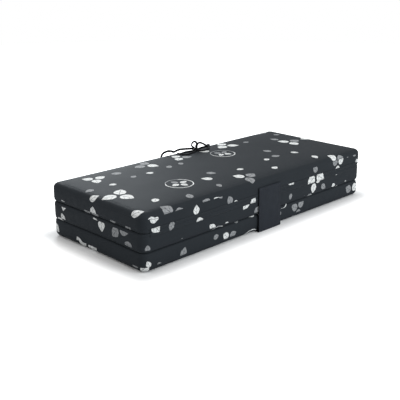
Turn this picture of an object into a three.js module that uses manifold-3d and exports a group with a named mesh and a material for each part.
import * as THREE from 'three';
import { mergeVertices } from 'three/addons/utils/BufferGeometryUtils.js';
import Module from 'manifold-3d';

const wasm = await Module();
wasm.setup();

// A folding mattress: three foam panels in zipped covers, folded in a Z and held by a wide front strap.
// Millimetres. X runs along the fold lines, +Y to the back, +Z up, the origin under the bottom panel.

// Panels
const mattressLength = 1600;
const panelDepth = 668;
const panelThickness = 88;
const foldGap = 0.4; // between two stacked panels
const planRadius = 36; // upright corners
const outerEdgeRadius = 26; // the edges that lie at the top and the bottom of the stack
const innerEdgeRadius = 14; // the edges that press on another panel
const hingeEdgeRadius = 5; // the edges that a fold line runs along
const sideDrawIn = 3; // how far a free side pulls in between its corners
const crownRise = 6; // of the panel that nothing lies on
const coverThickness = 1.6;
const seatGap = 0.3; // between pieces that touch

// How finely the soft forms are cut
const cornerSteps = 5;
const longSideSteps = 6;
const shortSideSteps = 3;
const edgeSteps = 4;
const crownShares = [0.86, 0.62, 0.34];

// Cloth hinges along the fold lines
const hingeClothThickness = 1.2;
const hingeClothHeight = 18;
const hingeEndInset = 4; // of a hinge cloth from the end of the straight edge

// Zips in the right end of each cover
const zipEndMargin = 64; // from each end of a zip to the panel's corner line
const zipLength = panelDepth - 2 * zipEndMargin;
const zipSlotHeight = 26;
const tapeThickness = 1;
const tapeSink = 0.2; // of the tape below the cover's face
const coilWidth = 2.5;
const coilHeight = 2.8;
const coilSplit = 1.4; // between the two rows, where the slider's neck runs
const sliderLength = 15;
const sliderWidth = 11;
const sliderWing = 1.4;
const sliderNeckLength = 5;
const sliderNeckWidth = 0.8;
const sliderEndInset = 10; // of a closed slider from the end of its zip
const bridgeSpan = 8.4; // clear length under the slider's bridge
const bridgeBar = 1.2;
const bridgeWidth = 2.2;
const bridgeClear = 2.4; // clear height under the bridge
const pullThickness = 1.4;
const pullLength = 30;
const pullWidth = 7.2;
const pullRail = 2;
const pullEyeBar = 1.6;
const pullWindow = 5.6;
const foamGrooveDepth = 3; // the room that the foam gives behind a zip
const foamGrooveMargin = 5; // past the slider on each side

// Front strap
const strapWidth = 163;
const strapCentre = 6; // to the right of the mattress's middle
const strapThickness = 5.5;
const strapTopDrop = 41; // below the top panel's face
const strapFootThickness = 2.6;
const strapFootReach = 14; // under the front edge
const strapFootSetback = 1.3; // of the foot behind the strap's outer face
const strapLean = 5; // how much further the strap stands out at the bottom
const padThickness = 1.2; // hook and loop tapes
const padHeight = 22;
const padSideInset = 14;
const strapHeightShares = [1, 0.8, 0.6, 0.4, 0.2, 0];
const padEndInset = 3;

// Laces, tied in a bow at the back edge
const laceDiameter = 8;
const laceSides = 8;
const laceStep = 1.9 * laceDiameter;
const knotRadius = 11;
const laceTabWidth = 22;
const laceTabHeight = 26;
const laceTabThickness = 1.6;
const laceTabDrop = 27; // of a tab's top edge below the top panel's face
const leftTabPlace = -96; // along the back edge
const rightTabPlace = 246;
const tipLength = 14;
const tipDiameter = 8.8;

// What follows from these sizes
const halfLength = mattressLength / 2;
const halfDepth = panelDepth / 2;
const panelPitch = panelThickness + foldGap;
const rightEnd = halfLength;
const front = -halfDepth;
const back = halfDepth;
const backFoldHeight = panelPitch - foldGap / 2;
const frontFoldHeight = 2 * panelPitch - foldGap / 2;
const topFace = 3 * panelPitch - foldGap;
const quarterTurn = Math.PI / 2;

// Materials
const printedCloth = new THREE.MeshStandardMaterial({ color: 0x3a3f44, roughness: 0.9, metalness: 0 });
const plainCloth = new THREE.MeshStandardMaterial({ color: 0x33383d, roughness: 0.92, metalness: 0 });
const foam = new THREE.MeshStandardMaterial({ color: 0xe9e4d2, roughness: 0.95, metalness: 0 });
const laceCord = new THREE.MeshStandardMaterial({ color: 0x111214, roughness: 0.85, metalness: 0 });
const zipTape = new THREE.MeshStandardMaterial({ color: 0x202326, roughness: 0.8, metalness: 0 });
const blackenedMetal = new THREE.MeshStandardMaterial({ color: 0x2a2b2d, roughness: 0.4, metalness: 0.8 });
const hookTape = new THREE.MeshStandardMaterial({ color: 0x1a1b1d, roughness: 0.8, metalness: 0 });

const mattress = new THREE.Group();

function add(name, geometry, material) {
  const mesh = new THREE.Mesh(geometry, material.clone());
  mesh.name = name;
  mattress.add(mesh);
  return mesh;
}

// Cutting and joining

function toSolid(geometry) {
  const bare = geometry.clone();
  bare.deleteAttribute('normal');
  bare.deleteAttribute('uv');
  const merged = mergeVertices(bare);
  const numbers = Array.from({ length: merged.attributes.position.count }, (_, i) => i);
  const corners = merged.index ? merged.index.array : numbers;
  return new wasm.Manifold(new wasm.Mesh({
    numProp: 3,
    vertProperties: new Float32Array(merged.attributes.position.array),
    triVerts: new Uint32Array(corners),
  }));
}

function toGeometry(solid) {
  const { numProp, vertProperties, triVerts } = solid.getMesh();
  const points = new Float32Array((vertProperties.length / numProp) * 3);
  for (let i = 0; i < points.length / 3; i += 1) {
    for (let axis = 0; axis < 3; axis += 1) points[3 * i + axis] = vertProperties[numProp * i + axis];
  }
  const geometry = new THREE.BufferGeometry();
  geometry.setAttribute('position', new THREE.BufferAttribute(points, 3));
  geometry.setIndex(new THREE.BufferAttribute(new Uint32Array(triVerts), 1));
  geometry.computeVertexNormals();
  return geometry;
}

function block(low, high) {
  const size = new THREE.Vector3().subVectors(high, low);
  const middle = new THREE.Vector3().addVectors(low, high).multiplyScalar(0.5);
  return new THREE.BoxGeometry(size.x, size.y, size.z).translate(middle.x, middle.y, middle.z);
}

// Rings of points joined into one closed skin: a fan closes each end, or the last ring meets the first

function loft(rings, joinEnds = false) {
  const count = rings[0].length;
  const points = rings.flat();
  const faces = [];
  const bands = joinEnds ? rings.length : rings.length - 1;
  for (let band = 0; band < bands; band += 1) {
    const here = band * count;
    const next = ((band + 1) % rings.length) * count;
    for (let i = 0; i < count; i += 1) {
      const j = (i + 1) % count;
      faces.push(here + i, here + j, next + j, here + i, next + j, next + i);
    }
  }
  if (!joinEnds) {
    for (const [ring, turned] of [[0, true], [rings.length - 1, false]]) {
      const hub = points.length;
      const middle = new THREE.Vector3();
      rings[ring].forEach((p) => middle.addScaledVector(p, 1 / count));
      points.push(middle);
      for (let i = 0; i < count; i += 1) {
        const a = ring * count + i;
        const b = ring * count + ((i + 1) % count);
        faces.push(...(turned ? [hub, b, a] : [hub, a, b]));
      }
    }
  }
  let volume = 0;
  for (let i = 0; i < faces.length; i += 3) {
    const [a, b, c] = [points[faces[i]], points[faces[i + 1]], points[faces[i + 2]]];
    volume += a.dot(new THREE.Vector3().crossVectors(b, c));
  }
  if (volume < 0) faces.reverse();
  const geometry = new THREE.BufferGeometry();
  const numbers = points.flatMap((p) => [p.x, p.y, p.z]);
  geometry.setAttribute('position', new THREE.Float32BufferAttribute(numbers, 3));
  geometry.setIndex(faces);
  geometry.computeVertexNormals();
  return geometry;
}

// A soft slab: its box, the radius of each edge, and how far each side draws in

function panelSlab(level, { lowRadius, highRadius, lowHinge, highHinge, crown = 0 }) {
  const low = level * panelPitch;
  const sides = ['left', 'right', 'front', 'back'];
  const radii = (radius, hinge) => Object.fromEntries(
    sides.map((side) => [side, side === hinge ? hingeEdgeRadius : radius]),
  );
  const hinges = [lowHinge, highHinge];
  const drawIn = Object.fromEntries(
    sides.map((side) => [side, side === 'right' || hinges.includes(side) ? 0 : sideDrawIn]),
  );
  return {
    low,
    high: low + panelThickness,
    halfLength,
    halfDepth,
    planRadius,
    lowRadii: radii(lowRadius, lowHinge),
    highRadii: radii(highRadius, highHinge),
    lowSeam: low + lowRadius,
    highSeam: low + panelThickness - highRadius,
    drawIn,
    crown,
  };
}

function shrunk(slab, by) {
  const less = (radii) => Object.fromEntries(Object.entries(radii).map(([side, r]) => [side, r - by]));
  return {
    ...slab,
    low: slab.low + by,
    high: slab.high - by,
    halfLength: slab.halfLength - by,
    halfDepth: slab.halfDepth - by,
    planRadius: slab.planRadius - by,
    lowRadii: less(slab.lowRadii),
    highRadii: less(slab.highRadii),
  };
}

function edgeInset(depth, radius) {
  return depth >= radius ? 0 : radius - Math.sqrt(Math.max(radius ** 2 - (radius - depth) ** 2, 0));
}

function ring(slab, z, share = 1) {
  const inset = (side) => (
    edgeInset(slab.high - z, slab.highRadii[side]) + edgeInset(z - slab.low, slab.lowRadii[side])
  );
  const corners = [
    { x: 1, y: -1, from: -quarterTurn, across: 'right', along: 'front' },
    { x: 1, y: 1, from: 0, across: 'right', along: 'back' },
    { x: -1, y: 1, from: quarterTurn, across: 'left', along: 'back' },
    { x: -1, y: -1, from: 2 * quarterTurn, across: 'left', along: 'front' },
  ];
  const outline = [];
  corners.forEach((corner, n) => {
    const centreX = corner.x * (slab.halfLength - slab.planRadius);
    const centreY = corner.y * (slab.halfDepth - slab.planRadius);
    const radiusX = slab.planRadius - inset(corner.across);
    const radiusY = slab.planRadius - inset(corner.along);
    for (let i = 0; i <= cornerSteps; i += 1) {
      const angle = corner.from + (quarterTurn * i) / cornerSteps;
      outline.push([centreX + radiusX * Math.cos(angle), centreY + radiusY * Math.sin(angle)]);
    }
    const upright = n % 2 === 0;
    const steps = upright ? shortSideSteps : longSideSteps;
    const side = ['right', 'back', 'left', 'front'][n];
    const [startX, startY] = outline[outline.length - 1];
    const nextCorner = corners[(n + 1) % corners.length];
    const endX = upright ? startX : -startX;
    const endY = upright ? nextCorner.y * (slab.halfDepth - slab.planRadius) : startY;
    for (let i = 1; i < steps; i += 1) {
      const t = i / steps;
      const pull = slab.drawIn[side] * Math.sin(Math.PI * t) ** 2;
      const x = startX + (endX - startX) * t - (upright ? corner.x * pull : 0);
      const y = startY + (endY - startY) * t - (upright ? 0 : corner.y * pull);
      outline.push([x, y]);
    }
  });
  const innermost = crownShares[crownShares.length - 1];
  const height = slab.crown * Math.min((1 - share ** 2) / (1 - innermost ** 2), 1);
  return outline.map(([x, y]) => new THREE.Vector3(x * share, y * share, z + height));
}

// The rings of a slab's skin from its seam to its face, the high face with its crown

function rimHeights(face, seam) {
  return Array.from({ length: edgeSteps + 1 }, (_, i) => (
    face + (seam - face) * (1 - Math.sin((quarterTurn * i) / edgeSteps))
  ));
}

function highRings(slab, seam) {
  const rings = rimHeights(slab.high, seam).map((z) => ring(slab, z));
  if (slab.crown > 0) crownShares.forEach((share) => rings.push(ring(slab, slab.high, share)));
  return rings;
}

function lowRings(slab, seam) {
  return rimHeights(slab.low, seam).map((z) => ring(slab, z));
}

function coverUpper(slab) {
  const seam = slab.highSeam + seatGap / 2;
  return loft([...highRings(slab, seam).reverse(), ...highRings(shrunk(slab, coverThickness), seam)]);
}

function coverLower(slab) {
  const seam = slab.lowSeam - seatGap / 2;
  return loft([...lowRings(slab, seam).reverse(), ...lowRings(shrunk(slab, coverThickness), seam)]);
}

function coverBorder(slab) {
  const heights = [slab.lowSeam + seatGap / 2, slab.highSeam - seatGap / 2];
  const inner = shrunk(slab, coverThickness);
  const band = loft([
    ring(slab, heights[0]), ring(slab, heights[1]), ring(inner, heights[1]), ring(inner, heights[0]),
  ], true);
  const middle = (slab.low + slab.high) / 2;
  const slot = block(
    new THREE.Vector3(rightEnd - planRadius, -zipLength / 2, middle - zipSlotHeight / 2),
    new THREE.Vector3(rightEnd + planRadius, zipLength / 2, middle + zipSlotHeight / 2),
  );
  return toGeometry(toSolid(band).subtract(toSolid(slot)));
}

function foamCore(slab) {
  const core = shrunk(slab, coverThickness + seatGap);
  const body = loft([...lowRings(core, slab.lowSeam).reverse(), ...highRings(core, slab.highSeam)]);
  const middle = (slab.low + slab.high) / 2;
  const halfWidth = sliderWidth / 2 + foamGrooveMargin;
  const groove = block(
    new THREE.Vector3(rightEnd - coverThickness - foamGrooveDepth, -zipLength / 2, middle - halfWidth),
    new THREE.Vector3(rightEnd + planRadius, zipLength / 2, middle + halfWidth),
  );
  return toGeometry(toSolid(body).subtract(toSolid(groove)));
}

// One half of a zip: a woven tape in the cover's slot with a row of coil along its inner edge

const tapeFace = rightEnd - tapeSink;
const coilFace = tapeFace - tapeThickness + coilHeight;

function zipHalf(middle, side) {
  const halfSplit = coilSplit / 2;
  const outline = new THREE.Shape([
    new THREE.Vector2(tapeFace - tapeThickness, halfSplit),
    new THREE.Vector2(coilFace, halfSplit),
    new THREE.Vector2(coilFace, halfSplit + coilWidth),
    new THREE.Vector2(tapeFace, halfSplit + coilWidth),
    new THREE.Vector2(tapeFace, zipSlotHeight / 2 - seatGap),
    new THREE.Vector2(tapeFace - tapeThickness, zipSlotHeight / 2 - seatGap),
  ]);
  const length = zipLength - 2 * seatGap;
  const strip = new THREE.ExtrudeGeometry(outline, { depth: length, bevelEnabled: false, steps: 1 });
  strip.rotateX(quarterTurn).translate(0, length / 2, 0);
  if (side < 0) strip.rotateX(Math.PI);
  return strip.translate(0, 0, middle);
}

// A zip slider: two wings round the coil, joined by a neck, with a bridge for its pull

const outerWingLow = coilFace + seatGap;
const outerWingFace = outerWingLow + sliderWing;
const innerWingFace = tapeFace - tapeThickness - seatGap;
const bridgeFace = outerWingFace + bridgeClear + bridgeBar;
const pullAxisReach = outerWingFace + bridgeClear / 2;
const sliderPlace = zipLength / 2 - sliderEndInset;

function zipSlider(middle) {
  const piece = (lowX, highX, halfY, halfZ, y = 0) => toSolid(block(
    new THREE.Vector3(lowX, sliderPlace + y - halfY, middle - halfZ),
    new THREE.Vector3(highX, sliderPlace + y + halfY, middle + halfZ),
  ));
  const overrun = sliderWing / 2;
  const post = bridgeSpan / 2 + bridgeBar / 2;
  const body = piece(outerWingLow, outerWingFace, sliderLength / 2, sliderWidth / 2)
    .add(piece(innerWingFace - sliderWing, innerWingFace, sliderLength / 2, sliderWidth / 2))
    .add(piece(innerWingFace - overrun, outerWingLow + overrun, sliderNeckLength / 2, sliderNeckWidth / 2))
    .add(piece(outerWingFace - overrun, bridgeFace, bridgeBar / 2, bridgeWidth / 2, post))
    .add(piece(outerWingFace - overrun, bridgeFace, bridgeBar / 2, bridgeWidth / 2, -post))
    .add(piece(bridgeFace - bridgeBar, bridgeFace, post, bridgeWidth / 2));
  return toGeometry(body);
}

// The pull: a plate with a window, whose end bar turns under the slider's bridge

function zipPull(middle) {
  const halfWidth = pullWidth / 2;
  const nose = halfWidth;
  const outline = new THREE.Shape();
  outline.moveTo(-pullEyeBar / 2, -halfWidth);
  outline.lineTo(pullLength - nose, -halfWidth);
  outline.absarc(pullLength - nose, 0, nose, -quarterTurn, quarterTurn, false);
  outline.lineTo(-pullEyeBar / 2, halfWidth);
  outline.closePath();
  const window = new THREE.Path();
  window.moveTo(pullEyeBar / 2, pullRail - halfWidth);
  window.lineTo(pullEyeBar / 2, halfWidth - pullRail);
  window.lineTo(pullEyeBar / 2 + pullWindow, halfWidth - pullRail);
  window.lineTo(pullEyeBar / 2 + pullWindow, pullRail - halfWidth);
  window.closePath();
  outline.holes.push(window);
  const plate = new THREE.ExtrudeGeometry(outline, {
    depth: pullThickness, bevelEnabled: false, curveSegments: 6,
  });
  plate.translate(0, 0, -pullThickness / 2).rotateY(quarterTurn).rotateX(quarterTurn);
  return plate.translate(pullAxisReach, sliderPlace, middle);
}

// The three panels, each with its foam, cover and zip

const panels = {
  bottom: panelSlab(0, {
    lowRadius: outerEdgeRadius, highRadius: innerEdgeRadius, highHinge: 'back',
  }),
  middle: panelSlab(1, {
    lowRadius: innerEdgeRadius, highRadius: innerEdgeRadius, lowHinge: 'back', highHinge: 'front',
  }),
  top: panelSlab(2, {
    lowRadius: innerEdgeRadius, highRadius: outerEdgeRadius, lowHinge: 'front', crown: crownRise,
  }),
};

for (const [name, slab] of Object.entries(panels)) {
  const middle = (slab.low + slab.high) / 2;
  add(`${name}_foam_core`, foamCore(slab), foam);
  add(`${name}_cover_upper`, coverUpper(slab), printedCloth);
  add(`${name}_cover_border`, coverBorder(slab), printedCloth);
  add(`${name}_cover_lower`, coverLower(slab), printedCloth);
  add(`${name}_zip_upper_tape`, zipHalf(middle, 1), zipTape);
  add(`${name}_zip_lower_tape`, zipHalf(middle, -1), zipTape);
  add(`${name}_zip_slider`, zipSlider(middle), blackenedMetal);
  add(`${name}_zip_pull`, zipPull(middle), blackenedMetal);
}

// Cloth hinges: one flap above and one below each fold line

function hingeFlap(face, outward, foldHeight, side) {
  const halfSpan = halfLength - planRadius - hingeEndInset;
  const faces = [face + outward * seatGap, face + outward * (seatGap + hingeClothThickness)];
  const heights = [foldHeight + side * seatGap, foldHeight + side * hingeClothHeight];
  return block(
    new THREE.Vector3(-halfSpan, Math.min(...faces), Math.min(...heights)),
    new THREE.Vector3(halfSpan, Math.max(...faces), Math.max(...heights)),
  );
}

add('front_hinge_upper_flap', hingeFlap(front, -1, frontFoldHeight, 1), plainCloth);
add('front_hinge_lower_flap', hingeFlap(front, -1, frontFoldHeight, -1), plainCloth);
add('back_hinge_upper_flap', hingeFlap(back, 1, backFoldHeight, 1), plainCloth);
add('back_hinge_lower_flap', hingeFlap(back, 1, backFoldHeight, -1), plainCloth);

// Front strap: a padded cloth slab on a sewn foot, held to the top panel by hook and loop tapes

const strapLeft = strapCentre - strapWidth / 2;
const loopFace = front - seatGap - padThickness;
const hookFace = loopFace - seatGap - padThickness;
const strapInner = hookFace - seatGap;
const strapOuter = strapInner - strapThickness;
const strapFoot = strapFootThickness + seatGap;
const strapTop = topFace - strapTopDrop;

function alongStrap(outline) {
  const points = outline.map(([y, z]) => new THREE.Vector2(y, z));
  const slabGeometry = new THREE.ExtrudeGeometry(new THREE.Shape(points), {
    depth: strapWidth, bevelEnabled: false, steps: 1,
  });
  return slabGeometry.rotateX(quarterTurn).rotateZ(quarterTurn).translate(strapLeft, 0, 0);
}

function closingStrap() {
  const nose = strapThickness / 2;
  const lean = (z) => strapLean * ((strapTop - z) / (strapTop - strapFoot)) ** 2;
  const heights = strapHeightShares.map((share) => strapFoot + (strapTop - nose - strapFoot) * share);
  const inner = heights.map((z) => [strapInner - lean(z), z]);
  const outer = heights.map((z) => [strapOuter - lean(z), z]).reverse();
  const noseArc = [1, 2, 3].map((i) => {
    const angle = (Math.PI * i) / 4;
    return [strapInner - nose - nose * Math.cos(angle), strapTop - nose + nose * Math.sin(angle)];
  });
  return alongStrap([...inner, ...outer, ...noseArc]);
}

add('closing_strap', closingStrap(), plainCloth);
add('strap_foot', block(
  new THREE.Vector3(strapLeft, strapOuter - strapLean + strapFootSetback, 0),
  new THREE.Vector3(strapLeft + strapWidth, front + strapFootReach, strapFootThickness),
), plainCloth);

function tapePad(face) {
  const high = strapTop - padEndInset;
  return block(
    new THREE.Vector3(strapLeft + padSideInset, face, high - padHeight),
    new THREE.Vector3(strapLeft + strapWidth - padSideInset, face + padThickness, high),
  );
}

add('strap_loop_pad', tapePad(loopFace), hookTape);
add('strap_hook_pad', tapePad(hookFace), hookTape);

// Laces: each comes up from its tab on the back face, and the two are tied in a bow.
// A place on a lace is given from the middle of the back edge, at the height of the top panel's face.

const laceRadius = laceDiameter / 2;
const place = (x, y, z) => new THREE.Vector3(x, back + y, topFace + z);
const knotPlace = place(88, -72, 14.5);

function topBackFace(x) {
  const t = (x + halfLength - planRadius) / (2 * (halfLength - planRadius));
  return back - panels.top.drawIn.back * Math.sin(Math.PI * t) ** 2;
}

function laceTab(x) {
  const seat = topBackFace(x) + seatGap;
  const high = topFace - laceTabDrop;
  return block(
    new THREE.Vector3(x - laceTabWidth / 2, seat, high - laceTabHeight),
    new THREE.Vector3(x + laceTabWidth / 2, seat + laceTabThickness, high),
  );
}

// A lace leaves the knot in a direction, straight for one diameter
function fromKnot(...direction) {
  const way = new THREE.Vector3(...direction).normalize();
  return [0, laceDiameter].map((along) => (
    knotPlace.clone().addScaledVector(way, knotRadius + seatGap + along)
  ));
}

// A lace rises from its tab, straight for one diameter
function fromTab(x) {
  const y = topBackFace(x) + seatGap + laceRadius;
  const low = topFace - laceTabDrop + seatGap;
  return [0, laceDiameter].map((along) => new THREE.Vector3(x, y, low + along));
}

function lace(curve) {
  const section = new THREE.Shape(Array.from({ length: laceSides }, (_, i) => {
    const angle = (2 * Math.PI * (i + 0.5)) / laceSides;
    return new THREE.Vector2(laceRadius * Math.cos(angle), laceRadius * Math.sin(angle));
  }));
  const steps = Math.ceil(curve.getLength() / laceStep);
  return new THREE.ExtrudeGeometry(section, { extrudePath: curve, steps, bevelEnabled: false });
}

// A moulded tip on the end of a lace, in line with its last stretch
function laceTip(curve) {
  const way = curve.getTangentAt(1);
  const tip = new THREE.CylinderGeometry(tipDiameter / 2, tipDiameter / 2, tipLength, laceSides);
  tip.applyQuaternion(new THREE.Quaternion().setFromUnitVectors(new THREE.Vector3(0, 1, 0), way));
  const middle = curve.getPointAt(1).addScaledVector(way, seatGap + tipLength / 2);
  return tip.translate(middle.x, middle.y, middle.z);
}

const laceRoutes = {
  lace_left: [
    ...fromTab(leftTabPlace),
    place(-95, 5, -9), place(-92, 2, 3), place(-86, -6, 14), place(-70, -18, 22), place(-50, -24, 20),
    place(-32, -26, 13), place(-14, -26, 16), place(8, -26, 19), place(32, -28, 17.5), place(54, -38, 17),
    ...fromKnot(-0.62, 0.76, 0.2).reverse(),
  ],
  lace_right: [
    ...fromTab(rightTabPlace),
    place(246, 3, -6), place(244, -14, 5), place(236, -30, 5.6), place(218, -38, 6), place(190, -38, 6),
    place(160, -41, 6.2), place(132, -47, 6.7), place(113, -53, 7.1),
    ...fromKnot(0.55, 0.72, -0.38).reverse(),
  ],
  bow_loop_high: [
    ...fromKnot(-0.7, 0, 0.71),
    place(63, -68, 37), place(67, -66, 50), place(80, -66, 58), place(96, -66, 53), place(102, -67, 42),
    ...fromKnot(0.35, 0.1, 0.93).reverse(),
  ],
  bow_loop_right: [
    ...fromKnot(0.87, 0.4, 0.28),
    place(112, -60, 33), place(124, -57, 41), place(143, -55, 39), place(164, -55, 30), place(182, -57, 18),
    place(190, -64, 9.5), place(184, -77, 8.8), place(164, -92, 9.1), place(138, -104, 9.5),
    place(116, -107, 9.6), place(102, -99, 9.4),
    ...fromKnot(0.45, -0.85, -0.26).reverse(),
  ],
  lace_tail_left: [
    ...fromKnot(-0.75, -0.6, -0.25),
    place(60, -90, 8.9), place(38, -98, 9.1), place(12, -104, 9.3), place(-12, -105, 9.3),
    place(-26, -92, 8.9), place(-27, -73, 8.1), place(-21, -54, 7.1),
  ],
  lace_tail_right: [
    ...fromKnot(-0.93, 0.2, -0.3),
    place(56, -61, 7.6), place(36, -55, 7.2), place(10, -57, 7.3),
  ],
};

add('lace_tab_left', laceTab(leftTabPlace), plainCloth);
add('lace_tab_right', laceTab(rightTabPlace), plainCloth);
add('bow_knot', new THREE.SphereGeometry(knotRadius, 12, 8).rotateX(quarterTurn)
  .translate(knotPlace.x, knotPlace.y, knotPlace.z), laceCord);

for (const [name, route] of Object.entries(laceRoutes)) {
  const curve = new THREE.CatmullRomCurve3(route, false, 'centripetal');
  add(name, lace(curve), laceCord);
  if (name.includes('tail')) add(name.replace('tail', 'tip'), laceTip(curve), laceCord);
}

export default mattress;
